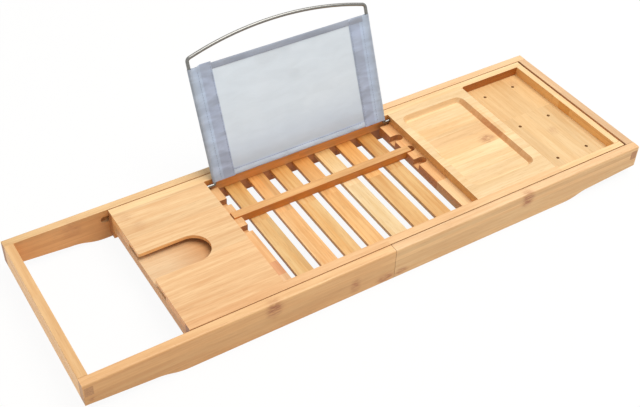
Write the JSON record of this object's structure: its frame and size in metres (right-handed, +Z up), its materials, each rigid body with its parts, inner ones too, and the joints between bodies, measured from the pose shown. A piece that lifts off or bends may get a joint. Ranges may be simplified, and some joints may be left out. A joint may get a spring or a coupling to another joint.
{
  "type": "bath caddy",
  "caption": "Extending bamboo bath tray with a folding reading rest, a movable ledge bar, a slot for a stemmed glass, a recess and a drained soap box.",
  "frame": {"origin": "middle of the underside of the closed caddy's bounding box, which ends at the front face and at the tip of the raised reading rest", "axes": "+X along the length from the glass slot to the soap box, +Y from front to back, +Z up"},
  "size_m": [0.7, 0.2568, 0.1869],
  "materials": {
    "bamboo_frame": "satin lacquered bamboo",
    "bamboo_tray": "satin lacquered bamboo",
    "bamboo_dark": "satin lacquered bamboo, darker strips",
    "bamboo_box": "satin lacquered bamboo",
    "grip_rubber": "matt",
    "steel_wire": "bright drawn wire",
    "grey_cloth": "thin woven cloth, slightly see-through"
  },
  "bodies": {
    "tray": {"tray_front_rail": "bamboo_tray", "tray_back_rail": "bamboo_tray", "tray_end_rail": "bamboo_tray", "guide_pins": "bamboo_tray", "left_deck": "bamboo_tray", "left_underboard": "bamboo_tray", "left_rack": "bamboo_dark", "left_rack_block": "bamboo_dark", "right_rack": "bamboo_dark", "right_rack_block": "bamboo_dark", "right_deck": "bamboo_tray", "right_underboard": "bamboo_tray", "box_front_wall": "bamboo_box", "box_back_wall": "bamboo_box", "box_end_wall": "bamboo_box", "box_floor": "bamboo_box", "slat_1": "bamboo_dark", "slat_2": "bamboo_dark", "slat_3": "bamboo_dark", "slat_4": "bamboo_dark", "slat_5": "bamboo_dark", "slat_6": "bamboo_dark", "slat_7": "bamboo_dark"},
    "left_frame": {"left_front_arm": "bamboo_frame", "left_back_arm": "bamboo_frame", "left_end_bar": "bamboo_frame", "left_grip_strips": "grip_rubber"},
    "right_frame": {"right_front_arm": "bamboo_frame", "right_back_arm": "bamboo_frame", "right_end_bar": "bamboo_frame", "right_grip_strips": "grip_rubber"},
    "reading_rest": {"rest_wire": "steel_wire", "rest_cloth": "grey_cloth"},
    "ledge": {"ledge_bar": "bamboo_dark"}
  },
  "joints": [
    {"name": "left_slide", "type": "slide", "parent": "tray", "child": "left_frame", "axis": [-1, 0, 0], "range_m": [0, 0.126]},
    {"name": "right_slide", "type": "slide", "parent": "tray", "child": "right_frame", "axis": [1, 0, 0], "range_m": [0, 0.2215]},
    {"name": "rest_fold", "type": "hinge", "parent": "tray", "child": "reading_rest", "pos_m": [0, 0.0652, 0.035], "axis": [1, 0, 0], "range_deg": [0, 112]},
    {"name": "ledge_lift", "type": "slide", "parent": "tray", "child": "ledge", "axis": [0, 0, -1], "range_m": [-0.03, 0]}
  ]
}
